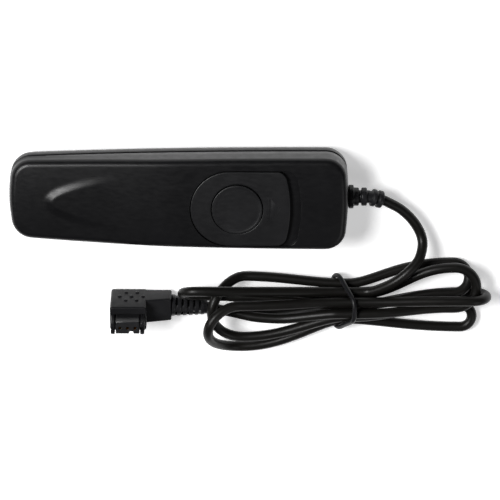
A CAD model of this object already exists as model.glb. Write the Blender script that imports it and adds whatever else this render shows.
import math

import bmesh
import bpy
from mathutils import Matrix, Vector


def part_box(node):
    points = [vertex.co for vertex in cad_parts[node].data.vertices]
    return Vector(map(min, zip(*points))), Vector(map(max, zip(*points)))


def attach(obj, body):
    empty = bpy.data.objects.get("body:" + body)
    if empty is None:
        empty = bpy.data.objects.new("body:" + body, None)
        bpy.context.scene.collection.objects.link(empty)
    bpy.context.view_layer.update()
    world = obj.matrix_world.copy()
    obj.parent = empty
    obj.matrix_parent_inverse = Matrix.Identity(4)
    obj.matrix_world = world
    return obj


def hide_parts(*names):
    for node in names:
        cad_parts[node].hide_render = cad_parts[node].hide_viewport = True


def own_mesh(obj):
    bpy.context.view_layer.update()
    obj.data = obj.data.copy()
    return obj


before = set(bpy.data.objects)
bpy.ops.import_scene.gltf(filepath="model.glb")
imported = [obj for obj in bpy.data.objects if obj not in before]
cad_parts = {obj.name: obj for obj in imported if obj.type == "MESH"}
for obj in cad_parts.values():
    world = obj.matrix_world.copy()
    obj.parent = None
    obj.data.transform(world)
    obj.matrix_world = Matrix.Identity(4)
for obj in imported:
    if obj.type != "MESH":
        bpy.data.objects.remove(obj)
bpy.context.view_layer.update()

MM = 0.001  # the shapes below are in millimetres, and pieces are made in metres
OVER = 1.0  # how far a cutter reaches past what it cuts
PAST_FACE = 0.02  # how far past a face the slope round a hole's mouth starts

# ---- Sizes shared with the CAD source ----

BODY_L = 99.5
HEAD_W = 28.6
TAIL_W = 24.2
FACE_Z = 16.4
TAIL_Z = 12.6
SEAM_Z = 7.6
SEAM_GAP = 0.2
WALL = 1.6
CORNER_R = 6.4
BELLY_R = 5.5
EDGE_R = 1.8
INNER_EDGE_R = 0.3
DRAFT = 0.3
SIDE_POWER = 2.2
END_BULGE = 0.4
SLOPE_X = -5.0
FACE_SLOPE = (FACE_Z - TAIL_Z) / (BODY_L / 2 + SLOPE_X)
FLOOR_Z = WALL + 0.2
LIP_T = 0.65
LIP_H = 1.0
LIP_GAP = 0.1

TONGUE_TIP_X = -38.05
TONGUE_ROOT_X = -15.05
TONGUE_RISE = 0.9
TONGUE_HALF_W = 8.6

BUTTON_X = 17.1
BUTTON_Y = -1.2
BUTTON_R = 7.4
BUTTON_GAP = 0.2
BUTTON_TOP_Z = FACE_Z + 0.3
FLANGE_R = 8.3
FLANGE_T = 1.3
BUTTON_EDGE_R = 0.4
STEM_R = 1.5
STEM_TIP_Z = 7.4

SLIDER_X = 14.9
SLIDER_R = 11.4
SLIDER_L = 29.2
SLIDER_END_BOW = 1.7
SLIDER_CORNER_R = 3.0
SLIDER_T = 1.6
ARROW_FROM_END = 5.6
ARROW_L = 2.8
ARROW_HALF_W = 3.4
ARROW_BAR_GAP = 0.5
ARROW_BAR_T = 0.6
SLIDE_TRAVEL = 2.8
POCKET_GAP = 0.2
POCKET_FLOOR_Z = FACE_Z - 1.8
FLOOR_T = 1.3
FLOOR_RIM = 0.5
SLIDER_Z = POCKET_FLOOR_Z + 0.15
SLIDER_TOP_Z = SLIDER_Z + SLIDER_T
HUB_R = 9.4
HUB_BORE_R = 8.5
HUB_Z = 9.8
SLOT_GAP = 0.25
FLANGE_Z = SLIDER_Z - 0.1 - FLANGE_T  # the button's flange has 0.1 mm of room under the slider
SPRING_R = 5.5
SPRING_WIRE_R = 0.2
SPRING_TURNS = 3

SCREW_PLACES = ((41, 6.8), (41, -6.8), (-38, 0))
SCREW_RECESS_R = 2.05
SCREW_RECESS_H = 2.4
SCREW_HOLE_R = 1.15
PILOT_R = 0.9
PILOT_TOP_Z = 10.9
BOSS_R = 2.6
BOSS_TOP_Z = 5.2
BOSS_GAP = 0.2
CARRIER_X = (29.0, 38.0)
RIB_Y = (-4.1, 4.1)
RIB_T = 0.8
RIB_H = 1.4

CABLE_D = 3.0
CABLE_R = CABLE_D / 2
CABLE_END_X = 44.6
BOOT_BORE_END_X = 49.0
WIRE_R = 0.45
WIRE_FAN = 0.95
WIRE_TAIL_L = 3.2
WIRE_PITCH = 1.7
WIRE_STRAIGHT = 0.5
WIRE_SLOPE_X = 1.4
WIRE_SAG = 0.1
WIRE_IN_END_L = 0.4
ANCHOR_X = (46.2, 47.8)
ANCHOR_R = 4.2
NECK_R = 2.9
NECK_GAP = 0.12
BOOT_PIVOT = Vector((55.8, 0, SEAM_Z))
BOOT_DROOP = 10.8
BOOT_SWING = -17.0
BOOT_KNUCKLE_L = 4.1
# The boot's steps: where each one begins and its radius.
BOOT_STEM = (
    (ANCHOR_X[0], ANCHOR_R), (ANCHOR_X[1], NECK_R), (49.85, 3.5), (51.3, 2.7), (52.85, 1.9),
    (53.55, 2.7), (55.2, 1.9),
)
BOOT_STEM_END_X = 56.2
BOOT_KNUCKLE = ((-0.4, 1.85), (0.9, 2.6), (2.0, 1.8), (2.7, 2.6))
BOOT_KNUCKLE_FOOT = -0.5

TIE_X = 50.0
TIE_D = 1.4
TIE_LEAN = 29.0
TIE_ROW_Z = 3.35
TIE_GAP = 0.4
TIE_MID_Z = 8.3

PLUG_X = -20.5
PLUG_Y = -35.54
PLUG_W = 10.8
PLUG_H = 11.8
PLUG_T = 7.8
PLUG_LEAN = 8.0
PLUG_ROUND = 0.8
PLUG_EDGE_R = 0.5
ARM_END_X = -2.4
ARM_H = 7.9
ARM_END_H = 6.5
ARM_END_T = 7.4
ARM_INSET = 0.06
ARM_SUNK = 2.0
ARM_TIP_L = 0.6
BLOCK_X = -15.1
BLOCK_W = 7.0
BLOCK_Y = (-2.35, 1.68)
BLOCK_OUT = 4.8
BLOCK_SUNK = 3.0
BLOCK_GAP = 0.05
SOCKET_PITCH = 2.25
SOCKET_Y = -0.5
SOCKET_R = 0.45
SOCKET_WALL = 0.3
SOCKET_DEPTH = 4.4
SOCKET_MOUTH_T = 0.3
NOTCH_X = 1.1
NOTCH_W = (1.0, 1.8)
NOTCH_DEPTH = 0.9
NOTCH_L = 3.0
LATCH_T = 1.2
LATCH_GAP = 0.25
LATCH_W = 3.9
LATCH_OUT = BLOCK_OUT + 0.5
LATCH_SLOT_W = 1.3
LATCH_SLOT_L = 3.0
GRIP_DOT_R = 0.6
GRIP_DOT_T = 0.35
GRIP_DROP = 2.2
GRIP_DOTS = (
    (-17.8, 4.6), (-15.9, 7.0), (-14.3, 4.6), (-12.6, 7.0), (-10.8, 4.6), (-16.0, 2.2), (-12.7, 2.2)
)
PLUG_BOOT_L = 10.6
PLUG_BOOT_R = (3.3, 2.35)
PLUG_BOOT_DROOP = 3.2
PLUG_BOOT_SWING = -3.4
PLUG_BOOT_RIBS = 6
RIB_SHARE = 0.6
GROOVE_DEPTH = 0.25
BOOT_SLOT_DEPTH = 1.1
BOOT_SLOT_CORE_R = 1.75
BOOT_SLOT_W = 2.6

# Cable routes, as in the CAD source.
LEAD_ROUTE = (
    (62.2, -2.5, 6.3), (65.3, -4.5, 5.6), (68.3, -7.4, 5.0), (70.6, -10.7, 4.8),
    (71.9, -13.9, 5.3), (71.9, -16.6, 6.6), (70.7, -19.6, 8.6), (67.7, -22.8, 9.9),
    (63.6, -26.2, 9.6), (58.8, -29.2, 7.8), (56.0, -30.2, 6.7),
)
TAIL_ROUTE = (
    (44.0, -36.7, 8.9), (38.5, -37.8, 7.7), (31.0, -39.2, 6.1), (23.0, -39.1, 5.3),
    (16.5, -38.0, 4.5), (12.0, -37.2, 3.9),
)
ROW_PITCH = 3.8
ROW_RISE = 3.0
ROW_Y = -28.8
# Each slot: its place along its row, in pitches, and its row number.
SLOTS = (
    (0.42, 1.05), (1.52, 0.99), (0, 0), (2.52, 1.02), (3, 0), (1, 2.01), (2.01, 0), (1.03, 0),
    (1.99, 2.01),
)
# Each half loop: its farthest x, y and z where its turn starts and ends, the hump at the turn,
# its skew, and how long the run keeps its direction at tie, turn, turn and tie.
HALF_LOOPS = (
    (1.0, (-28.0, 13.2), (-32.3, 5.1), 0, 1, (0.36, 0.40, 0.47, 0.30)),
    (86.2, (-30.8, 5.5), (-22.6, 1.6), 0, 1, (0.54, 0.44, 0.55, 0.25)),
    (9.7, (-26.8, 3.0), (-45.6, 4.7), 6.1, 0.8, (0.36, 0.40, 0.42, 0.26)),
    (87.6, (-36.2, 1.6), (-43.2, 1.6), 0, 1, (0.43, 0.43, 0.48, 0.25)),
    (8.6, (-49.9, 1.6), (-33.2, 11.3), 5.8, 1, (0.25, 0.45, 0.40, 0.36)),
    (91.4, (-31.3, 11.4), (-32.0, 1.6), 0, 1, (0.36, 0.40, 0.50, 0.25)),
    (20.4, (-39.6, 1.6), (-32.4, 1.6), 0, 1, (0.31, 0.40, 0.41, 0.36)),
    (88.4, (-22.4, 6.9), (-35.3, 6.5), 0, 1, (0.50, 0.43, 0.40, 0.54)),
)

# ---- Looks that only the dressed model has ----

CROWN = 0.55  # drop of the face from its middle line to its edge
HEAD_ROLL = 0.35
HEAD_ROLL_X = 43.0
RIM_R = 0.2
TONGUE_FILLET = 2.8
SLOPE_EASE = 8.0
TONGUE_EASE = 7.0
SEAM_R = 0.06
SEAM_STEP = 0.44
SEAM_STEP_H = 1.15
TIE_EASE = 0.05
SLOT_EASE = 0.04


# ---- Making meshes ----

WELD = 0.0005  # points of one skin that are closer than this are one point
SHARP = 35  # edges are shaded smooth up to this angle
CORNER_SHARE = 0.48  # the most of a side that a rounded corner takes up
AXIS_R = 0.002  # a turned profile stays this far from its axis


def even(start, stop, count):
    """Evenly spaced numbers from start to stop, with both ends."""
    return [start + (stop - start) * k / count for k in range(count + 1)]


def spun(degrees, axis):
    return Matrix.Rotation(math.radians(degrees), 4, axis)


# Lays a turned piece along the middle line of the handset's cable exit.
ALONG_CABLE = Matrix.Translation((0, 0, SEAM_Z)) @ spun(90, "Y")


def band(a, b, size):
    """Faces between two rings, of which a and b are the first points."""
    return [(a + k, a + (k + 1) % size, b + (k + 1) % size, b + k) for k in range(size)]


def loft(rings, closed=False):
    """Points and faces of a skin over rings of equal size; closed joins last to first."""
    size, count = len(rings[0]), len(rings)
    faces = []
    for i in range(count if closed else count - 1):
        faces += band(i * size, (i + 1) % count * size, size)
    if not closed:
        faces += [tuple(range(size))[::-1], tuple(range((count - 1) * size, count * size))]
    return [Vector(p) for ring in rings for p in ring], faces


def add_object(name, data):
    made = bpy.data.objects.new(name, data)
    bpy.context.scene.collection.objects.link(made)
    return made


def piece(name, material, *skins, move=Matrix(), sharp=SHARP):
    """A node's dressed piece: skins of points in millimetres, smooth except at sharp angles."""
    mesh = bmesh.new()
    for points, faces in skins:
        corners = [mesh.verts.new(p) for p in points]
        for face in faces:
            mesh.faces.new([corners[i] for i in face])
    bmesh.ops.remove_doubles(mesh, verts=mesh.verts, dist=WELD)
    bmesh.ops.dissolve_degenerate(mesh, edges=mesh.edges, dist=WELD)
    bmesh.ops.recalc_face_normals(mesh, faces=mesh.faces)
    mesh.transform(move)
    mesh.transform(Matrix.Scale(MM, 4))
    name += "_dressed"
    data = bpy.data.meshes.new(name)
    mesh.to_mesh(data)
    mesh.free()
    data.materials.append(material)
    made = add_object(name, data)
    smooth(made, sharp)
    return made


def smooth(made, sharp):
    """Smooth shading, but for edges sharper than an angle in degrees."""
    made.data.shade_smooth()
    made.data.set_sharp_from_angle(angle=math.radians(sharp))


def carve(base, operation, *solids):
    """Joins solids to a piece, or cuts them from it, and drops them."""
    for other in solids:
        step = base.modifiers.new("carve", "BOOLEAN")
        step.operation = operation
        step.solver = "EXACT"
        step.object = other
    graph = bpy.context.evaluated_depsgraph_get()
    result = bpy.data.meshes.new_from_object(base.evaluated_get(graph))
    base.modifiers.clear()
    base.data = result
    for other in solids:
        bpy.data.objects.remove(other)
    smooth(base, SHARP)


def arc(centre, radius, start, stop, steps, last=True):
    """Points on an arc between two angles in degrees, with or without the last one."""
    turns = [math.radians(a) for a in even(start, stop, steps)[:steps + last]]
    return [(centre[0] + radius * math.cos(a), centre[1] + radius * math.sin(a)) for a in turns]


def level(z):
    return lambda x, y: z


def lifted(plan, z):
    """The points of a plan, at a height that is a function of x and y."""
    return [Vector((p[0], p[1], z(p[0], p[1]))) for p in plan]


def turned(profile, sides=64, centre=(0, 0)):
    """Solid of revolution about z: the profile is [radius, height] from one end to the other."""
    return loft([
        lifted(arc(centre, max(r, AXIS_R), 0, 360, sides, last=False), level(z)) for r, z in profile
    ])


def stepped(end, *steps):
    """Profile of a stepped rod that ends at end: each step is where it begins and its radius."""
    profile = [(0, steps[0][0])]
    for (start, radius), stop in zip(steps, [step[0] for step in steps[1:]] + [end]):
        profile += [(radius, start), (radius, stop)]
    return profile + [(0, end)]


def rounded(profile, radius, steps=3):
    """The profile with its inner corners rounded off."""
    done = [profile[0]]
    for before, corner, after in zip(profile, profile[1:], profile[2:]):
        a, p, b = (Vector(q).to_2d() for q in (before, corner, after))
        back, on = a - p, b - p
        reach = min(radius, min(back.length, on.length) * CORNER_SHARE)
        start, stop = p + back.normalized() * reach, p + on.normalized() * reach
        for t in even(0, 1, steps):
            done.append(tuple(start * (1 - t) ** 2 + p * 2 * t * (1 - t) + stop * t * t))
    return done + [profile[-1]]


def quarter_round(radius, steps=5):
    """Steps along a rounded edge: how far each is from either side, from (radius, 0) on."""
    turns = even(0, math.pi / 2, steps)
    return [(radius * (1 - math.sin(a)), radius * (1 - math.cos(a))) for a in turns]


def bar(low, high, e=0.0):
    """A box from its lowest to its highest corner, with every edge cut off by e."""
    (x0, y0, z0), (x1, y1, z1) = low, high
    rings = []
    for inset, z in ((e, z0), (0, z0 + e), (0, z1 - e), (e, z1)):
        a, b, c, d = x0 + inset, x1 - inset, y0 + inset, y1 - inset
        rings.append([
            (a + e, c, z), (b - e, c, z), (b, c + e, z), (b, d - e, z),
            (b - e, d, z), (a + e, d, z), (a, d - e, z), (a, c + e, z),
        ] if e else [(a, c, z), (b, c, z), (b, d, z), (a, d, z)])
    return loft(rings if e else rings[::3])


def tube(route, radius, sides, closed=False, plane=None):
    """A round skin along a route of vectors; plane fixes the rings' first direction."""
    count = len(route)
    rings, side = [], None
    for i, p in enumerate(route):
        if closed:
            ahead = route[(i + 1) % count] - route[i - 1]
        else:
            ahead = route[min(i + 1, count - 1)] - route[max(i - 1, 0)]
        ahead.normalize()
        if plane is not None:
            side = plane
        elif side is None:
            side = ahead.cross(Vector((0, 0, 1)) if abs(ahead.z) < 0.9 else Vector((0, 1, 0)))
        side = (side - side.dot(ahead) * ahead).normalized()
        up = ahead.cross(side)
        turns = even(0, math.tau, sides)[:-1]
        rings.append([p + radius * (math.cos(a) * side + math.sin(a) * up) for a in turns])
    return loft(rings, closed)


def dress(made, slot, *nodes, body="handset"):
    """Gives a piece its body, its material slot and the nodes that it stands for."""
    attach(made, body)
    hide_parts(*nodes)
    return made


# ---- Materials ----

# Parts of a noise's range over which a value and a colour change.
VALUE_SPAN = (0.3, 0.7)
COLOUR_SPAN = (0.35, 0.65)
# In millimetres: a plastic's flow and rubbed patches, and a metal's dull patches.
FLOW_MM, RUB_MM, PATCH_MM = 9.0, 2.2, 1.5
FLOW_DEPTH = 0.004
# Shares of the colour, and steps from the middle roughness.
FLOW_TONES, PATCH_TONE, METAL_SPREAD = (0.86, 1.14), 0.85, (-0.08, 0.1)


class Look:
    """A material's node tree, laid on the object's own coordinates in metres."""

    def __init__(self, name, roughness, metallic=0.0, specular=0.5):
        self.material = bpy.data.materials.new(name)
        self.material.use_nodes = True
        self.tree = self.material.node_tree
        self.shader = self.tree.nodes["Principled BSDF"]
        self.fill(self.shader, {
            "Metallic": metallic, "Specular IOR Level": specular, "Roughness": roughness,
        })

    def fill(self, node, inputs):
        """Sets a node's inputs to values, or links them to outputs."""
        for key, value in inputs.items():
            if isinstance(value, bpy.types.NodeSocket):
                self.tree.links.new(value, node.inputs[key])
            else:
                node.inputs[key].default_value = value
        return node.outputs

    def add(self, kind, inputs, operation=None):
        node = self.tree.nodes.new("ShaderNode" + kind)
        if operation is not None:
            node.operation = operation
        return self.fill(node, inputs)

    def noise(self, size_mm, detail=3.0, stretch=None):
        place = self.add("TexCoord", {})["Object"]
        if stretch is not None:
            place = self.add("Mapping", {"Vector": place, "Scale": stretch})["Vector"]
        inputs = {"Vector": place, "Scale": 1000 / size_mm, "Detail": detail}
        return self.add("TexNoise", inputs)["Fac"]

    def colour(self, value, dark, light):
        node = self.tree.nodes.new("ShaderNodeValToRGB")
        for element, position, tone in zip(node.color_ramp.elements, COLOUR_SPAN, (dark, light)):
            element.position = position
            element.color = (*tone, 1)
        self.fill(self.shader, {"Base Color": self.fill(node, {"Fac": value})["Color"]})

    def roughness(self, value, low, high):
        limits = zip(("From Min", "From Max", "To Min", "To Max"), (*VALUE_SPAN, low, high))
        ranged = self.add("MapRange", {"Value": value, **dict(limits)})["Result"]
        self.fill(self.shader, {"Roughness": ranged})

    def bump(self, *layers):
        """Each layer is a height and its depth in millimetres."""
        below = {}
        for height, depth in layers:
            inputs = {"Strength": 1.0, "Distance": depth * MM, "Height": height, **below}
            below = {"Normal": self.add("Bump", inputs)["Normal"]}
        self.fill(self.shader, below)


def shade(colour, share):
    return tuple(c * share for c in colour)


def moulded(name, colour, roughness, grain_mm, grain_depth, specular=0.5, spread=0.05):
    """Moulded plastic: fine grain, faint flow, and patches that are rubbed smoother."""
    look = Look(name, roughness, specular=specular)
    grain = look.noise(grain_mm, 2.0)
    flow = look.noise(FLOW_MM, 2.0)
    rub = look.noise(RUB_MM, 4.0, (1, 3, 1))
    look.colour(flow, *(shade(colour, share) for share in FLOW_TONES))
    look.roughness(rub, roughness - spread, roughness + spread)
    look.bump((grain, grain_depth), (flow, FLOW_DEPTH))
    return look.material


def metal(name, colour, roughness, grain_mm, stretch=None, depth=0.002):
    """Metal with fine drawing or turning lines and dull patches."""
    look = Look(name, roughness, metallic=1.0)
    lines = look.noise(grain_mm, 4.0, stretch)
    patches = look.noise(PATCH_MM)
    look.colour(patches, shade(colour, PATCH_TONE), colour)
    look.roughness(lines, *(roughness + step for step in METAL_SPREAD))
    look.bump((lines, depth))
    return look.material


CASE_BLACK = (0.0042, 0.0042, 0.0047)
CASE_TOP = moulded("case_top_grain", CASE_BLACK, 0.35, 0.28, 0.012, specular=0.26)
CASE_BOTTOM = moulded("case_bottom_satin", CASE_BLACK, 0.34, 0.22, 0.004, specular=0.22)
SLIDER_PLASTIC = moulded("slider_grain", (0.0075, 0.0075, 0.0082), 0.40, 0.24, 0.010, specular=0.3)
BUTTON_PLASTIC = moulded("button_grain", (0.0082, 0.0082, 0.009), 0.40, 0.24, 0.010, specular=0.3)
INNER_PLASTIC = moulded("inner_nylon", (0.55, 0.54, 0.5), 0.4, 0.4, 0.004)
RED_MARK = moulded("red_print", (0.6, 0.02, 0.02), 0.4, 0.3, 0.003)
LAMINATE = moulded("paper_laminate", (0.45, 0.28, 0.14), 0.55, 0.5, 0.006)
BOOT_RUBBER = moulded("boot_rubber", (0.012, 0.012, 0.013), 0.3, 0.5, 0.004, specular=0.2)
CABLE_JACKET = moulded(
    "cable_jacket", (0.006, 0.0057, 0.005), 0.38, 1.6, 0.008, specular=0.2, spread=0.04
)
TIE_PLASTIC = moulded("tie_plastic", (0.008, 0.008, 0.009), 0.34, 0.9, 0.006, specular=0.25)
PLUG_PLASTIC = moulded("plug_satin", (0.011, 0.011, 0.012), 0.4, 0.3, 0.006, specular=0.12)
BLOCK_PLASTIC = moulded("block_satin", (0.012, 0.012, 0.013), 0.34, 0.3, 0.003)
WIRE_RED = moulded("wire_red", (0.55, 0.03, 0.03), 0.3, 0.6, 0.003)
WIRE_WHITE = moulded("wire_white", (0.75, 0.75, 0.72), 0.3, 0.6, 0.003)
WIRE_YELLOW = moulded("wire_yellow", (0.75, 0.55, 0.05), 0.3, 0.6, 0.003)
SCREW_STEEL = metal("zinc_plate", (0.55, 0.55, 0.57), 0.32, 0.5)
SPRING_STEEL = metal("spring_wire", (0.6, 0.6, 0.62), 0.25, 0.3, (1, 1, 6))
BRASS = metal("rolled_brass", (0.78, 0.57, 0.24), 0.3, 0.3, (0.1, 1, 1))
SOLDER = metal("bright_solder", (0.68, 0.68, 0.7), 0.28, 0.8, depth=0.01)
GOLD = metal("gold_plate", (0.85, 0.62, 0.25), 0.22, 0.3, (1, 1, 0.2))

# ---- Camera ----

CAMERA_TILT = 20.0
CAMERA_AIM = Vector((20.96, -17.45, 6.0))
CAMERA_ROLL = 0.3
CAMERA_DISTANCE = 900.0
PICTURE_WIDTH = 148.15  # millimetres across the picture at the point that the camera looks at


def make_camera():
    data = bpy.data.cameras.new("camera")
    data.lens = data.sensor_width * CAMERA_DISTANCE / PICTURE_WIDTH
    data.clip_start = 0.01
    camera = add_object("camera", data)
    tilt = math.radians(CAMERA_TILT)
    back = Vector((0, math.sin(tilt), math.cos(tilt)))
    camera.location = (CAMERA_AIM + back * CAMERA_DISTANCE) * MM
    camera.rotation_mode = "ZYX"
    camera.rotation_euler = (-tilt, 0, math.radians(CAMERA_ROLL))
    bpy.context.scene.camera = camera


make_camera()

# ---- The cable's middle line ----

LEAD_STEPS = 6
RUN_STEPS = 22
TURN_STEPS = 18
IN_BOOT_L = 2.0  # how far the cable runs into the plug's boot


def direction(droop, swing):
    """Where x points once it droops and swings aside, in degrees."""
    d, s = math.radians(droop), math.radians(swing)
    return Vector((math.cos(d) * math.cos(s), math.cos(d) * math.sin(s), -math.sin(d)))


def spline(points, first, last):
    """A smooth line through points, with the directions it starts and ends in."""
    points = [Vector(p) for p in points]
    slopes = [(b - a) / 2 for a, b in zip(points, points[2:])]
    first_l, last_l = (points[1] - points[0]).length, (points[-1] - points[-2]).length
    slopes = [first * first_l, *slopes, last * last_l]
    line = []
    for a, b, u, v in zip(points, points[1:], slopes, slopes[1:]):
        for k in range(LEAD_STEPS):
            t = k / LEAD_STEPS
            line.append(
                a * (2 * t**3 - 3 * t**2 + 1) + u * (t**3 - 2 * t**2 + t)
                + b * (3 * t**2 - 2 * t**3) + v * (t**3 - t**2)
            )
    return line


def slot_place(i):
    return Vector((TIE_X, ROW_Y - ROW_PITCH * SLOTS[i][0], TIE_ROW_Z + ROW_RISE * SLOTS[i][1]))


def bezier(a, b, c, d, t):
    return (1 - t) ** 3 * a + 3 * (1 - t) ** 2 * t * b + 3 * (1 - t) * t * t * c + t**3 * d


def half_loop(i):
    """Out from the tie, round the loop's end and back to the next slot."""
    far_x, out, back, hump, skew, keep = HALF_LOOPS[i]
    way = -1 if i % 2 == 0 else 1
    ahead = Vector((way, 0, 0))
    out, back = Vector((0, *out)), Vector((0, *back))
    turn_r = (out - back).length / 2
    across = (out - back) / (2 * turn_r)
    centre = Vector((far_x - way * turn_r, 0, 0)) + (out + back) / 2
    a, d = slot_place(i), slot_place(i + 1)
    b, c = centre + turn_r * across, centre - turn_r * across
    reach = abs(centre.x - TIE_X)
    there = (a, a + keep[0] * reach * ahead, b - keep[1] * reach * ahead, b)
    home = (c, c - keep[2] * reach * ahead, d + keep[3] * reach * ahead, d)
    line = [bezier(*there, k / RUN_STEPS) for k in range(RUN_STEPS)]
    for k in range(TURN_STEPS):
        f = k / TURN_STEPS
        rise = hump * math.sin(math.pi * f**skew) ** 2
        turn = math.sin(math.pi * f) * ahead + math.cos(math.pi * f) * across
        line.append(centre + turn_r * turn + Vector((0, 0, rise)))
    return line + [bezier(*home, k / RUN_STEPS) for k in range(RUN_STEPS)]


KNUCKLE_WAY = direction(BOOT_DROOP, BOOT_SWING)
LEAD_START = BOOT_PIVOT + BOOT_KNUCKLE_L * KNUCKLE_WAY
HANK_START = slot_place(0) + Vector((CABLE_D, 0, 0))
HANK_END = slot_place(len(SLOTS) - 1) - Vector((CABLE_D, 0, 0))
TAILWARD = Vector((-1, 0, 0))
PLUG_BOOT_WAY = direction(PLUG_BOOT_DROOP, PLUG_BOOT_SWING)
# The plug leans back by PLUG_TILT, and its boot starts at a place on the arm's end.
PLUG_TILT = math.radians(PLUG_LEAN)
SEAT_Y, SEAT_Z = (PLUG_T - ARM_END_T) / 2 - ARM_INSET, ARM_INSET + ARM_END_H / 2
PLUG_BOOT_START = Vector((
    ARM_END_X,
    PLUG_Y + math.cos(PLUG_TILT) * SEAT_Y - math.sin(PLUG_TILT) * SEAT_Z,
    math.sin(PLUG_TILT) * (SEAT_Y + PLUG_T / 2) + math.cos(PLUG_TILT) * SEAT_Z,
))


def cable_line():
    lead = spline([LEAD_START, *LEAD_ROUTE, HANK_START], KNUCKLE_WAY, TAILWARD)
    hank = [HANK_START] + [p for i in range(len(HALF_LOOPS)) for p in half_loop(i)]
    hank.append(slot_place(len(SLOTS) - 1))
    boot_end = PLUG_BOOT_START + PLUG_BOOT_L * PLUG_BOOT_WAY
    tail = spline([HANK_END, *TAIL_ROUTE, boot_end], TAILWARD, -PLUG_BOOT_WAY)
    inside = boot_end - IN_BOOT_L * PLUG_BOOT_WAY
    return lead + hank + tail + [boot_end, inside]


def make_cable():
    points = cable_line()
    data = bpy.data.curves.new("cable", "CURVE")
    data.dimensions = "3D"
    data.bevel_depth = CABLE_R * MM
    data.bevel_resolution = 6
    data.use_fill_caps = True
    line = data.splines.new("POLY")
    line.points.add(len(points) - 1)
    for place, p in zip(line.points, points):
        place.co = (*(p * MM), 1)
    data.materials.append(CABLE_JACKET)
    length = sum((b - a).length for a, b in zip(points, points[1:]))
    made = add_object("cable", data)
    return dress(made, "cable_jacket", "cable_lead", "cable_hank", "cable_tail"), length


CABLE, CABLE_LENGTH = make_cable()

# ---- Shells ----

CORNER_X = BODY_L / 2 - END_BULGE - CORNER_R
CORNER_STEPS = 9
# Stations along the shells: first, last and spacing, finer under the tongue.
HEAD_STATIONS = (CORNER_X - 1.5, -11.0, 2.0)
TAIL_STATIONS = (-12.0, -41.0, 0.4)
LOWER_STATIONS = (CORNER_X - 2, -CORNER_X + 2, 2.5)
FACE_ROWS, LOWER_ROWS = 61, 21
SIDE_STEPS = 14
HUB_SLOT_STEPS = 48
ROUND_END_STEPS, BOW_STEPS = 60, 30
HUB_SLOT_Z = (10.0, 15.0)
SCREW_HOLE_TOP_Z = 6.0
FLOOR_SPARE = 0.3  # height that the pocket then takes off its floor
BOSS_ROOT = 0.7  # share of the wall that the bosses reach into
RECESS_LEAD, RECESS_ROUND = 0.3, 0.1


def half_w(x):
    """Half of the handset's width, which grows from tail to head."""
    t = (min(max(x, -BODY_L / 2), BODY_L / 2) + BODY_L / 2) / BODY_L
    return (TAIL_W + (HEAD_W - TAIL_W) * (1 - (1 - t) ** SIDE_POWER)) / 2


def face_height(x):
    """The tail falls away evenly, after a bend that is eased over twice SLOPE_EASE."""
    past = SLOPE_X - x
    if abs(past) < SLOPE_EASE:
        past = (past + SLOPE_EASE) ** 2 / (4 * SLOPE_EASE)
    return FACE_Z - FACE_SLOPE * max(0.0, past)


def crown(x, y):
    """How far the face falls towards its sides and head end."""
    roll = max(0.0, (x - HEAD_ROLL_X) / (BODY_L / 2 - HEAD_ROLL_X))
    return CROWN * (y / half_w(x)) ** 2 + HEAD_ROLL * roll**2


def tongue(x, y):
    """How far the thumb rest stands above the sloping tail."""
    if not TONGUE_TIP_X - TONGUE_FILLET < x < TONGUE_ROOT_X:
        return 0.0
    length = TONGUE_ROOT_X - TONGUE_TIP_X
    inside = (x - TONGUE_TIP_X) / length - (y / TONGUE_HALF_W) ** 2
    slope = math.hypot(1 / length, 2 * y / TONGUE_HALF_W**2)
    f = min(max(inside / slope / TONGUE_FILLET + 0.5, 0.0), 1.0)
    back = TONGUE_ROOT_X - x
    lift = back - TONGUE_EASE / 2 if back > TONGUE_EASE else back**2 / (2 * TONGUE_EASE)
    return TONGUE_RISE * lift / length * f * f * (3 - 2 * f)


def face_at(x, y):
    return face_height(x) - crown(x, y)


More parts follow.
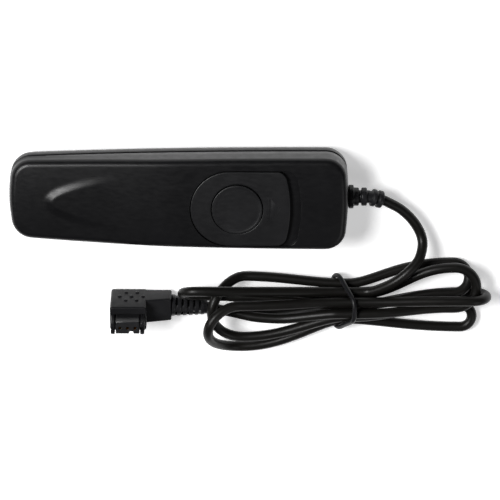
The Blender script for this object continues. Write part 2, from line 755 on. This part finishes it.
class Outline:
    """The handset's outline seen from above, and a grid that fills it."""

    def __init__(self, stations, rows):
        corners = even(0, 90, CORNER_STEPS)
        self.columns = [("head", a) for a in corners]
        self.columns += [("side", x) for x in stations]
        self.columns += [("tail", 90 + a) for a in corners]
        self.shares = even(1, -1, rows - 1)

    def side(self, column, inset):
        kind, value = column
        if kind == "side":
            return Vector((value, half_w(value) - inset))
        way = 1 if kind == "head" else -1
        a = math.radians(value)
        r = CORNER_R - inset
        top = half_w(way * CORNER_X)
        return Vector((way * CORNER_X + r * math.cos(a), top - CORNER_R + r * math.sin(a)))

    def end(self, way, share, inset):
        x = BODY_L / 2 - END_BULGE * share**2 - inset
        return Vector((way * x, share * (half_w(way * CORNER_X) - CORNER_R)))

    def ring(self, inset):
        """Round the outline once, against the clock, drawn in by inset."""
        upper = [self.side(c, inset) for c in self.columns]
        lower = [Vector((p.x, -p.y)) for p in reversed(upper)]
        tail = [self.end(-1, s, inset) for s in self.shares[1:-1]]
        head = [self.end(1, s, inset) for s in reversed(self.shares[1:-1])]
        return upper + tail + lower + head

    def cup(self, rings, height):
        """Rings of (inset, height function) from the open end, closed by a filled face."""
        points = [p for inset, z in rings for p in lifted(self.ring(inset), z)]
        size, count = len(points) // len(rings), len(rings)
        faces = []
        for i in range(count - 1):
            faces += band(i * size, (i + 1) * size, size)
        last, n, m = (count - 1) * size, len(self.columns), len(self.shares)
        inset = rings[-1][0]
        grid = {}
        for i in range(n):
            grid[i, 0] = last + i
            grid[i, m - 1] = last + (n - 1) + (m - 1) + (n - 1 - i)
        for j in range(m):
            grid[n - 1, j] = last + n - 1 + j
            grid[0, j] = last + (2 * (n - 1) + (m - 1) + (m - 1 - j)) % size
        for i in range(1, n - 1):
            p = self.side(self.columns[i], inset)
            near_end = max(0.0, 1 - min(i, n - 1 - i) / CORNER_STEPS)
            bow = math.copysign(END_BULGE * near_end, p.x)
            for j in range(1, m - 1):
                share = self.shares[j]
                x, y = p.x + bow * (1 - share**2), share * p.y
                grid[i, j] = len(points)
                points.append(Vector((x, y, height(x, y))))
        for i in range(n - 1):
            for j in range(m - 1):
                faces.append((grid[i, j], grid[i + 1, j], grid[i + 1, j + 1], grid[i, j + 1]))
        return points, faces, size


def shell(name, material, outline, outer, inner, height, inner_height):
    """A cup with a wall: an outer and an inner skin joined round the open end."""
    points, faces, size = outline.cup(outer, height)
    more, inside, _ = outline.cup(inner, inner_height)
    base = len(points)
    faces += [tuple(base + k for k in reversed(face)) for face in inside]
    faces += [(k, base + k, base + (k + 1) % size, (k + 1) % size) for k in range(size)]
    return piece(name, material, (points + more, faces))


def spaced(start, stop, step):
    return even(start, stop, max(1, round(abs(stop - start) / step)))


def edge_rings(inset, top, radius, steps, height):
    """Rings that round an edge, from the side up to the face."""
    return [
        (inset + across, lambda x, y, d=top + down: height(x, y) - d)
        for down, across in quarter_round(radius, steps)
    ]


UPPER_LOW_Z = SEAM_Z + SEAM_GAP / 2
LOWER_TOP_Z = SEAM_Z - SEAM_GAP / 2


def straight(start, stop, y):
    """Points on a straight side, without its ends."""
    return [(x, y) for x in even(start, stop, SIDE_STEPS)[1:-1]]


def slider_ring(grow, extra, z):
    """Plan of slider and pocket, with z from a function of x and y."""
    half, corner = SLIDER_R + grow, SLIDER_CORNER_R + grow
    bow_r = (SLIDER_R**2 + SLIDER_END_BOW**2) / (2 * SLIDER_END_BOW)
    bow_x = SLIDER_X - SLIDER_R + SLIDER_L + extra - bow_r
    corner_x = bow_x + math.sqrt((bow_r + grow - corner) ** 2 - (half - corner) ** 2)
    meet = math.degrees(math.atan2(half - corner, corner_x - bow_x))
    points = (
        arc((SLIDER_X, 0), half, 90, 270, ROUND_END_STEPS)
        + straight(SLIDER_X, corner_x, -half)
        + arc((corner_x, corner - half), corner, -90, -meet, SIDE_STEPS, last=False)
        + arc((bow_x, 0), bow_r + grow, -meet, meet, BOW_STEPS, last=False)
        + arc((corner_x, half - corner), corner, meet, 90, SIDE_STEPS)
        + straight(corner_x, SLIDER_X, half)
    )
    return lifted([(x, y + BUTTON_Y) for x, y in points], z)


def pocket_solid():
    """What the slider's pocket takes out of the face, with a fine round rim."""
    sections = [
        (POCKET_GAP, level(POCKET_FLOOR_Z)), *edge_rings(POCKET_GAP, 0, RIM_R, 4, face_at),
        (POCKET_GAP + RIM_R, level(FACE_Z + 2 * OVER)),
    ]
    return solid(loft([slider_ring(grow, SLIDE_TRAVEL, z) for grow, z in sections]))


def hub_slot(z):
    """Plan of the slot that the slider's hub moves in."""
    r = HUB_R + SLOT_GAP
    ring = arc((BUTTON_X, BUTTON_Y), r, 90, 270, HUB_SLOT_STEPS)
    ring += arc((BUTTON_X + SLIDE_TRAVEL, BUTTON_Y), r, -90, 90, HUB_SLOT_STEPS)
    return lifted(ring, level(z))


def solid(skin, move=Matrix()):
    """Something that carve joins to a piece or cuts from it."""
    return piece("solid", CASE_TOP, skin, move=move)


def rod(radius, low, high, centre, sides=48):
    return solid(turned([(radius, low), (radius, high)], sides, centre))


def boot_room():
    """Room in both shells for the boot's neck and anchor."""
    neck, anchor = NECK_R + NECK_GAP, ANCHOR_R + NECK_GAP
    steps = (CABLE_END_X, neck), (ANCHOR_X[0] - NECK_GAP, anchor), (ANCHOR_X[1] + NECK_GAP, neck)
    profile = stepped(BODY_L / 2 + OVER, *steps)[1:-1]
    return solid(turned(profile), ALONG_CABLE)


def make_upper_shell():
    outline = Outline(spaced(*HEAD_STATIONS) + spaced(*TAIL_STATIONS), FACE_ROWS)
    outer = [
        (SEAM_STEP, level(UPPER_LOW_Z)),
        (0, level(UPPER_LOW_Z + SEAM_STEP_H)),
        (DRAFT / 2, lambda x, y: UPPER_LOW_Z + (face_at(x, y) - EDGE_R - UPPER_LOW_Z) / 2),
    ] + edge_rings(DRAFT, 0, EDGE_R, 10, face_at)
    groove, groove_z = WALL - LIP_T - LIP_GAP, SEAM_Z + LIP_H + LIP_GAP
    inner = [(groove, level(UPPER_LOW_Z)), (groove, level(groove_z)), (WALL, level(groove_z))]
    inner += edge_rings(WALL + DRAFT, WALL, INNER_EDGE_R, 2, face_at)
    made = shell(
        "upper_shell", CASE_TOP, outline, outer, inner,
        lambda x, y: face_at(x, y) + tongue(x, y), lambda x, y: face_at(x, y) - WALL,
    )
    floor = solid(loft([
        slider_ring(POCKET_GAP + FLOOR_RIM, SLIDE_TRAVEL, level(z))
        for z in (POCKET_FLOOR_Z - FLOOR_T, POCKET_FLOOR_Z + FLOOR_SPARE)
    ]))
    bosses = [
        rod(BOSS_R, BOSS_TOP_Z + BOSS_GAP, face_height(x) - WALL * BOSS_ROOT, (x, y))
        for x, y in SCREW_PLACES
    ]
    carve(made, "UNION", floor, *bosses)
    slot = solid(loft([hub_slot(z) for z in HUB_SLOT_Z]))
    pilots = [rod(PILOT_R, BOSS_TOP_Z, PILOT_TOP_Z, p, 24) for p in SCREW_PLACES]
    carve(made, "DIFFERENCE", pocket_solid(), slot, boot_room(), *pilots)
    dress(made, "case_top", "upper_shell")


def belly_rings(inset, low, radius, steps):
    """Rings that round the belly, from the side down to the bottom."""
    return [(inset + across, level(low + up)) for up, across in quarter_round(radius, steps)]


def make_lower_shell():
    outline = Outline(spaced(*LOWER_STATIONS), LOWER_ROWS)
    outer = [(WALL - LIP_T, level(SEAM_Z + LIP_H)), (WALL - LIP_T, level(LOWER_TOP_Z))]
    outer += edge_rings(0, 0, SEAM_R, 2, level(LOWER_TOP_Z))[::-1]
    outer += belly_rings(0, 0, BELLY_R, 12)
    inner = [(WALL, level(SEAM_Z + LIP_H)), (WALL, level(LOWER_TOP_Z))]
    inner += belly_rings(WALL, FLOOR_Z, BELLY_R - WALL, 5)
    made = shell("lower_shell", CASE_BOTTOM, outline, outer, inner, level(0), level(FLOOR_Z))
    bosses = [rod(BOSS_R, WALL, BOSS_TOP_Z, p) for p in SCREW_PLACES]
    (x0, x1), top = CARRIER_X, FLOOR_Z + RIB_H
    ribs = [solid(bar((x0, y - RIB_T / 2, WALL), (x1, y + RIB_T / 2, top))) for y in RIB_Y]
    carve(made, "UNION", *bosses, *ribs)
    wide = SCREW_RECESS_R + RECESS_LEAD
    mouth = rounded([(wide, -OVER), (wide, PAST_FACE), (SCREW_RECESS_R, RECESS_LEAD),
                     (SCREW_RECESS_R, SCREW_RECESS_H)], RECESS_ROUND)
    cuts = []
    for place in SCREW_PLACES:
        cuts.append(solid(turned(mouth, 48, place)))
        cuts.append(rod(SCREW_HOLE_R, SCREW_RECESS_H - OVER / 2, SCREW_HOLE_TOP_Z, place, 32))
    carve(made, "DIFFERENCE", boot_room(), *cuts)
    dress(made, "case_bottom", "lower_shell")


make_upper_shell()
make_lower_shell()


# ---- Lock slider and release button ----

BORE_EDGE_R = 0.25
SLIDER_EDGE_R = 0.3
SLIDER_SHARES = (0.08, 0.25, 0.45, 0.65, 0.85, 0.95)  # rings between the bore and the rim
# The raised figures' sides from their foot up: share of full size, and height.
FIGURE_STEPS = ((1, -0.2), (1, 0), (1, 0.072), (0.92, 0.12))
BUTTON_SIDE_DROP = 0.02  # how far below the top the button's side ends
# The button's dished top: radius, and depth below its highest ring.
BUTTON_DISH = ((6.95, 0), (6.7, 0.06), (6.2, 0.1), (4.0, 0.1), (0, 0.1))
SPRING_STEPS = 36


def slider_top(x, y):
    return SLIDER_TOP_Z - CROWN * (y / half_w(BUTTON_X)) ** 2


def toward_button(radius, z):
    """The slider's plan drawn in to a circle round the button."""
    centre = Vector((BUTTON_X, BUTTON_Y))
    ring = slider_ring(0, 0, level(SLIDER_Z))
    return lifted([centre + (p.to_2d() - centre).normalized() * radius for p in ring], z)


def make_slider():
    hole = BUTTON_R + BUTTON_GAP
    rings = [
        toward_button(HUB_BORE_R, level(HUB_Z)),
        toward_button(HUB_BORE_R, level(SLIDER_Z)),
        toward_button(hole, level(SLIDER_Z)),
    ]
    for radius, z in edge_rings(hole, 0, BORE_EDGE_R, 4, slider_top):
        rings.append(toward_button(radius, z))
    first = rings[-1]
    rim = slider_ring(-SLIDER_EDGE_R, 0, slider_top)
    for share in SLIDER_SHARES:
        rings.append(lifted([a.lerp(b, share) for a, b in zip(first, rim)], slider_top))
    for inset, z in reversed(edge_rings(0, 0, SLIDER_EDGE_R, 5, slider_top)):
        rings.append(slider_ring(-inset, 0, z))
    rings += [
        slider_ring(0, 0, level(SLIDER_Z)),
        toward_button(HUB_R, level(SLIDER_Z)),
        toward_button(HUB_R, level(HUB_Z)),
    ]
    made = piece("lock_slider", SLIDER_PLASTIC, loft(rings, closed=True), *slide_arrow())
    dress(made, "slider_plastic", "lock_slider", body="slider")


def raised(outline):
    """A low raised figure on the slider's face, with sloping sides."""
    centre = sum((Vector(p) for p in outline), Vector((0, 0))) / len(outline)
    rings = []
    for share, lift in FIGURE_STEPS:
        ring = [centre + (Vector(p) - centre) * share for p in outline]
        rings.append(lifted(ring, lambda x, y: slider_top(x, y) + lift))
    return loft(rings)


def slide_arrow():
    """The plain arrow and bar that show which way the slider locks."""
    x = SLIDER_X - SLIDER_R + SLIDER_L - ARROW_FROM_END
    low, high = BUTTON_Y - ARROW_HALF_W, BUTTON_Y + ARROW_HALF_W
    head = [(x, low), (x + ARROW_L, BUTTON_Y), (x, high)]
    right = x - ARROW_BAR_GAP
    left = right - ARROW_BAR_T
    stem = [(left, low), (right, low), (right, high), (left, high)]
    return raised(head), raised(stem)


def make_button():
    steps = (STEM_TIP_Z, STEM_R), (FLANGE_Z, FLANGE_R), (FLANGE_Z + FLANGE_T, BUTTON_R)
    profile = stepped(BUTTON_TOP_Z - BUTTON_SIDE_DROP, *steps)[:-1]
    profile += [(radius, BUTTON_TOP_Z - drop) for radius, drop in BUTTON_DISH]
    skin = turned(rounded(profile, BUTTON_EDGE_R, 5), 128, (BUTTON_X, BUTTON_Y))
    made = piece("release_button", BUTTON_PLASTIC, skin, sharp=50)
    dress(made, "button_plastic", "release_button", body="button")


def make_spring():
    low, high = HUB_Z, FLANGE_Z
    rise = high - low - 2 * SPRING_WIRE_R
    steps = SPRING_TURNS * SPRING_STEPS
    plan = arc((BUTTON_X, BUTTON_Y), SPRING_R, 0, 360 * SPRING_TURNS, steps)
    route = [Vector((*p, low + SPRING_WIRE_R + rise * k / steps)) for k, p in enumerate(plan)]
    made = piece("button_spring", SPRING_STEEL, tube(route, SPRING_WIRE_R, 12))
    dress(made, "spring_steel", "button_spring", body="slider")
    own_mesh(made)


make_slider()
make_button()
make_spring()


# ---- Boots, wires and tie ----

BOOT_BORE_X = 45.0
STEM_ROUND, KNUCKLE_ROUND, CABLE_END_ROUND = 0.35, 0.3, 0.15


def make_body_boot():
    stem = turned(rounded(stepped(BOOT_STEM_END_X, *BOOT_STEM), STEM_ROUND))
    made = piece("body_boot", BOOT_RUBBER, stem, move=ALONG_CABLE)
    knuckle = [(0, BOOT_KNUCKLE_FOOT), *stepped(BOOT_KNUCKLE_L, *BOOT_KNUCKLE)[1:]]
    way = KNUCKLE_WAY.to_track_quat("Z", "Y").to_matrix().to_4x4()
    tip = turned(rounded(knuckle, KNUCKLE_ROUND))
    carve(made, "UNION", solid(tip, Matrix.Translation(BOOT_PIVOT) @ way))
    bore = turned([(CABLE_R, BOOT_BORE_X), (CABLE_R, BOOT_BORE_END_X)], 48)
    carve(made, "DIFFERENCE", solid(bore, ALONG_CABLE))
    dress(made, "boot_rubber", "body_boot")


def make_cable_end():
    profile = rounded(stepped(BOOT_BORE_END_X, (CABLE_END_X, CABLE_R)), CABLE_END_ROUND)
    made = piece("cable_end", CABLE_JACKET, turned(profile, 48), move=ALONG_CABLE)
    dress(made, "cable_jacket", "cable_end")


def make_wire(name, material, slot, i):
    """A wire from just inside the cable's end to its leaf."""
    low_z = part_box(name)[0].z / MM + WIRE_R
    tail_x, y, fan = CARRIER_X[1] + WIRE_TAIL_L, i * WIRE_PITCH, i * WIRE_FAN
    route = [
        (CABLE_END_X + WIRE_IN_END_L, fan, SEAM_Z),
        (CABLE_END_X - WIRE_STRAIGHT, fan, SEAM_Z - WIRE_SAG),
        (tail_x + WIRE_SLOPE_X, y, (SEAM_Z + low_z) / 2),
        (tail_x + WIRE_STRAIGHT, y, low_z + WIRE_SAG),
        (CARRIER_X[1] + WIRE_TAIL_L / 2, y, low_z),
    ]
    line = spline(route, TAILWARD, TAILWARD) + [Vector(route[-1])]
    made = piece(name, material, tube(line, WIRE_R, 20))
    dress(made, slot, name)


def evened(route, count, passes):
    """A closed line with evenly spaced points, eased by averaging neighbours."""
    closed = route + [route[0]]
    steps = [(b - a).length for a, b in zip(closed, closed[1:])]
    pitch = sum(steps) / count
    points = []
    gone = 0.0
    for start, stop, step in zip(closed, closed[1:], steps):
        while step > 0 and len(points) * pitch < gone + step and len(points) < count:
            points.append(start.lerp(stop, (len(points) * pitch - gone) / step))
        gone += step
    for _ in range(passes):
        after = points[1:] + points[:1]
        points = [(a + 2 * p + b) / 4 for a, p, b in zip(points[-1:] + points, points, after)]
    return points


TIE_POINTS = 96
TIE_PASSES = 12
TIE_CORNER_STEP = 8  # degrees
TIE_SHOULDER = 58  # angle at which the tie leaves a lower strand for an upper one


def make_tie():
    around = CABLE_R + TIE_GAP + TIE_D / 2 + TIE_EASE
    low, high = TIE_ROW_Z, TIE_ROW_Z + 2 * ROW_RISE
    corners = (
        (ROW_Y, low, -90, TIE_SHOULDER),
        (ROW_Y - ROW_PITCH, high, TIE_SHOULDER, 90),
        (ROW_Y - 2 * ROW_PITCH, high, 90, 180 - TIE_SHOULDER),
        (ROW_Y - 3 * ROW_PITCH, low, 180 - TIE_SHOULDER, 270),
    )
    tilt = math.radians(TIE_LEAN)
    route = []
    for *row, start, stop in corners:
        steps = max(4, round((stop - start) / TIE_CORNER_STEP))
        for y, z in arc(row, around, start, stop, steps):
            p = Vector((0, y, z))
            p.x = TIE_X + (p.z - TIE_MID_Z) * math.tan(tilt)
            route.append(p)
    route = evened(route, TIE_POINTS, TIE_PASSES)
    plane = Vector((math.cos(tilt), 0, -math.sin(tilt)))
    made = piece("hank_tie", TIE_PLASTIC, tube(route, TIE_D / 2, 20, True, plane))
    return dress(made, "tie_plastic", "hank_tie")


make_body_boot()
make_cable_end()
make_wire("wire_common", WIRE_RED, "wire_red", -1)
make_wire("wire_focus", WIRE_WHITE, "wire_white", 0)
make_wire("wire_release", WIRE_YELLOW, "wire_yellow", 1)
TIE = make_tie()

# ---- Plug ----

PLUG_FOOT = (0, PLUG_Y, math.sin(PLUG_TILT) * PLUG_T / 2)
PLUG_FRAME = Matrix.Translation(PLUG_FOOT) @ spun(PLUG_LEAN, "X")
ARM_STEPS = 4
CORNER_LEAST_R = 0.02
PLUG_RIB_ROUND = 0.2
# A grip dot's top in shares of its radius and height, and how deep its foot is sunk.
GRIP_DOME = ((1, 0.4), (0.8, 0.8), (0.4, 1), (0, 1))
GRIP_DOT_SUNK = 0.4
BLOCK_EDGE, LATCH_EDGE = 0.2, 0.25
# How far the sockets' mouths widen, and from how deep.
SOCKET_LEAD, SOCKET_LEAD_H = 0.14, 0.12


def round_rect(w, h, inset, steps=6):
    """A rectangle of w by h with round corners, drawn in by inset."""
    x, y, r = w / 2 - PLUG_ROUND, h / 2 - PLUG_ROUND, max(PLUG_ROUND - inset, CORNER_LEAST_R)
    corners = ((x, y), (-x, y), (-x, -y), (x, -y))
    return [p for q, c in enumerate(corners) for p in arc(c, r, 90 * q, 90 * q + 90, steps)]


def plug_column():
    """The plug's standing block, with round corners and rounded ends."""
    plan = quarter_round(PLUG_EDGE_R)
    plan += [(inset, PLUG_H - back) for inset, back in reversed(plan)]
    return loft([
        [(PLUG_X + PLUG_W / 2 + x, y, z) for x, y in round_rect(PLUG_W, PLUG_T, inset)]
        for inset, z in plan
    ])


def plug_arm():
    """The arm to the boot: its outer side and its foot stay level, the rest tapers."""
    start, stop = PLUG_X + PLUG_W - ARM_SUNK, ARM_END_X

    def section(x, t, h, inset):
        y, z = (PLUG_T - t) / 2 - ARM_INSET, ARM_INSET + h / 2
        return [(x, y + a, z + b) for a, b in round_rect(t, h, inset)]

    rings = []
    for f in even(0, 1, ARM_STEPS):
        x = start + (stop - ARM_TIP_L - start) * f
        t = PLUG_T - 2 * ARM_INSET + (ARM_END_T - PLUG_T + 2 * ARM_INSET) * f
        rings.append(section(x, t, ARM_H + (ARM_END_H - ARM_H) * f, 0))
    for inset, back in reversed(quarter_round(PLUG_EDGE_R)):
        rings.append(section(stop - back, ARM_END_T, ARM_END_H, inset))
    return loft(rings)


def make_plug_housing():
    made = piece("plug_housing", PLUG_PLASTIC, plug_column(), move=PLUG_FRAME)
    dome = [(GRIP_DOT_R, -GRIP_DOT_SUNK)]
    dome += [(GRIP_DOT_R * out, GRIP_DOT_T * up) for out, up in GRIP_DOME]
    dots = []
    for x, drop in GRIP_DOTS:
        place = Matrix.Translation((x, PLUG_T / 2, PLUG_H - drop - GRIP_DROP))
        dots.append(solid(turned(dome, 24), PLUG_FRAME @ place @ spun(-90, "X")))
    carve(made, "UNION", solid(plug_arm(), PLUG_FRAME), *dots)
    rooms = (block_solid(BLOCK_GAP), *latch_solids(BLOCK_GAP))
    carve(made, "DIFFERENCE", *(solid(room, PLUG_FRAME) for room in rooms))
    return dress(made, "plug_plastic", "plug_housing")


def standing(x, w, ys, out, grow, edge):
    """A bar that stands out of the plug's end."""
    low = (x - w / 2 - grow, ys[0] - grow, PLUG_H - BLOCK_SUNK - grow)
    return bar(low, (x + w / 2 + grow, ys[1] + grow, PLUG_H + out), edge)


def block_solid(grow, edge=0.0):
    return standing(BLOCK_X, BLOCK_W, BLOCK_Y, BLOCK_OUT, grow, edge)


def latch_solids(grow, edge=0.0):
    y, reach = sum(BLOCK_Y) / 2, BLOCK_W / 2 + LATCH_GAP + LATCH_T / 2
    ys = (y - LATCH_W / 2, y + LATCH_W / 2)
    return [standing(BLOCK_X + way * reach, LATCH_T, ys, LATCH_OUT, grow, edge) for way in (-1, 1)]


def make_contact_block():
    top = PLUG_H + BLOCK_OUT
    made = piece("plug_contact_block", BLOCK_PLASTIC, block_solid(0, BLOCK_EDGE), move=PLUG_FRAME)
    bed, mouth, bed_z = SOCKET_R + SOCKET_WALL, SOCKET_R + SOCKET_LEAD, top - SOCKET_MOUTH_T
    profile = [(bed, top - SOCKET_DEPTH - SOCKET_MOUTH_T), (bed, bed_z), (SOCKET_R, bed_z),
               (SOCKET_R, top - SOCKET_LEAD_H), (mouth, top + PAST_FACE), (mouth, top + OVER)]
    cuts = [turned(profile, 40, (BLOCK_X + i * SOCKET_PITCH, SOCKET_Y)) for i in (-1, 0, 1)]
    x, low, high = BLOCK_X + NOTCH_X, BLOCK_Y[0] - OVER / 2, BLOCK_Y[0] + NOTCH_DEPTH
    wide, narrow = NOTCH_W[1] / 2, NOTCH_W[0] / 2
    cuts.append(loft([
        [(x - wide, low, z), (x + wide, low, z), (x + narrow, high, z), (x - narrow, high, z)]
        for z in (top - NOTCH_L, top + OVER / 2)
    ]))
    carve(made, "DIFFERENCE", *(solid(cut, PLUG_FRAME) for cut in cuts))
    return dress(made, "block_plastic", "plug_contact_block")


def make_latches():
    """Two latch arms, each forked at its tip."""
    made = piece("plug_latches", PLUG_PLASTIC, *latch_solids(0, LATCH_EDGE), move=PLUG_FRAME)
    low = (BLOCK_X - PLUG_W, SOCKET_Y - LATCH_SLOT_W / 2, PLUG_H + LATCH_OUT - LATCH_SLOT_L)
    high = (BLOCK_X + PLUG_W, SOCKET_Y + LATCH_SLOT_W / 2, PLUG_H + LATCH_OUT + OVER)
    carve(made, "DIFFERENCE", solid(bar(low, high), PLUG_FRAME))
    return dress(made, "plug_plastic", "plug_latches")


def make_plug_boot():
    """Ribbed boot: shallow grooves, each with four deep slots between its webs."""
    pitch = PLUG_BOOT_L / PLUG_BOOT_RIBS
    gap = pitch * (1 - RIB_SHARE)

    def taper(x):
        return PLUG_BOOT_R[0] + (PLUG_BOOT_R[1] - PLUG_BOOT_R[0]) * x / PLUG_BOOT_L

    profile = [(0, 0)]
    for i in range(PLUG_BOOT_RIBS):
        a, b, c = i * pitch, (i + 1) * pitch - gap, (i + 1) * pitch
        groove = taper(b) - GROOVE_DEPTH
        profile += [(taper(a), a), (taper(b), b), (groove, b), (groove, c)]
    profile.append((0, PLUG_BOOT_L))
    place = (
        Matrix.Translation(PLUG_BOOT_START)
        @ spun(PLUG_BOOT_SWING, "Z") @ spun(PLUG_BOOT_DROOP, "Y") @ spun(90, "Y")
    )
    made = piece("plug_boot", BOOT_RUBBER, turned(rounded(profile, PLUG_RIB_ROUND)), move=place)
    slots = []
    for i in range(1, PLUG_BOOT_RIBS):
        low = max(BOOT_SLOT_CORE_R, taper(i * pitch) - BOOT_SLOT_DEPTH)
        for turn in (45, 135, 225, 315):
            box = bar(
                (low, -BOOT_SLOT_W / 2, i * pitch - gap + SLOT_EASE),
                (PLUG_BOOT_R[0] + OVER / 2, BOOT_SLOT_W / 2, i * pitch - SLOT_EASE),
            )
            slots.append(solid(box, place @ spun(turn, "Z")))
    carve(made, "DIFFERENCE", *slots)
    return dress(made, "boot_rubber", "plug_boot")


PLUG_PIECES = [make_plug_housing(), make_contact_block(), make_latches(), make_plug_boot()]

# ---- CAD nodes that keep their shape ----

KEPT_NODES = (
    (RED_MARK, "lock_mark"),
    (SCREW_STEEL, "case_screws", "carrier_screws"),
    (INNER_PLASTIC, "slider_retainer", "contact_carrier"),
    (BRASS, "contact_common", "contact_focus", "contact_release"),
    (LAMINATE, "contact_spacers", "clamp_plate"),
    (SOLDER, "solder_joints"),
    (GOLD, "plug_sockets"),
)
for material, *nodes in KEPT_NODES:
    for node in nodes:
        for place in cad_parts[node].material_slots:
            place.material = material

# ---- Studio ----

FLOOR_SIZE = 8.0  # metres
FLOOR_GREY = (0.86, 0.86, 0.86, 1)
FLOOR_GLOW = 0.45
WORLD_GREY = (0.06, 0.06, 0.065, 1)
# Each lamp: its name, place and size in metres, and watts. Both point at the origin.
LAMPS = (
    ("key", (-0.53, 0.25, 0.86), (0.40, 0.36), 12.5),
    ("fill", (0.8, -0.7, 1.0), (0.8, 0.8), 2.8),
)


def floor_material():
    """Pale floor: it keeps the shadow, and is near white where it is seen directly."""
    look = Look("studio_floor", roughness=0.9, specular=0.1)
    path = look.add("LightPath", {})
    seen = path["Is Camera Ray"]
    for kind in ("Is Glossy Ray", "Is Transmission Ray"):
        seen = look.add("Math", {0: seen, 1: path[kind]}, "MAXIMUM")[0]
    glow = look.add("Math", {0: seen, 1: FLOOR_GLOW}, "MULTIPLY")[0]
    look.fill(look.shader, {
        "Base Color": FLOOR_GREY, "Emission Color": (1, 1, 1, 1), "Emission Strength": glow,
    })
    return look.material


def make_floor():
    half = FLOOR_SIZE / 2
    corners = [(-half, -half, 0), (half, -half, 0), (half, half, 0), (-half, half, 0)]
    data = bpy.data.meshes.new("floor")
    data.from_pydata(corners, [], [(0, 1, 2, 3)])
    data.materials.append(floor_material())
    add_object("floor", data)


def make_lamp(name, place, size, power):
    data = bpy.data.lights.new(name, "AREA")
    data.shape = "RECTANGLE"
    data.size, data.size_y = size
    data.energy = power
    lamp = add_object(name, data)
    lamp.location = place
    lamp.rotation_euler = (-Vector(place)).to_track_quat("-Z", "Y").to_euler()


make_floor()
for lamp in LAMPS:
    make_lamp(*lamp)
world = bpy.data.worlds.new("studio")
world.use_nodes = True
world.node_tree.nodes["Background"].inputs["Color"].default_value = WORLD_GREY
bpy.context.scene.world = world
bpy.context.scene.view_settings.view_transform = "Standard"
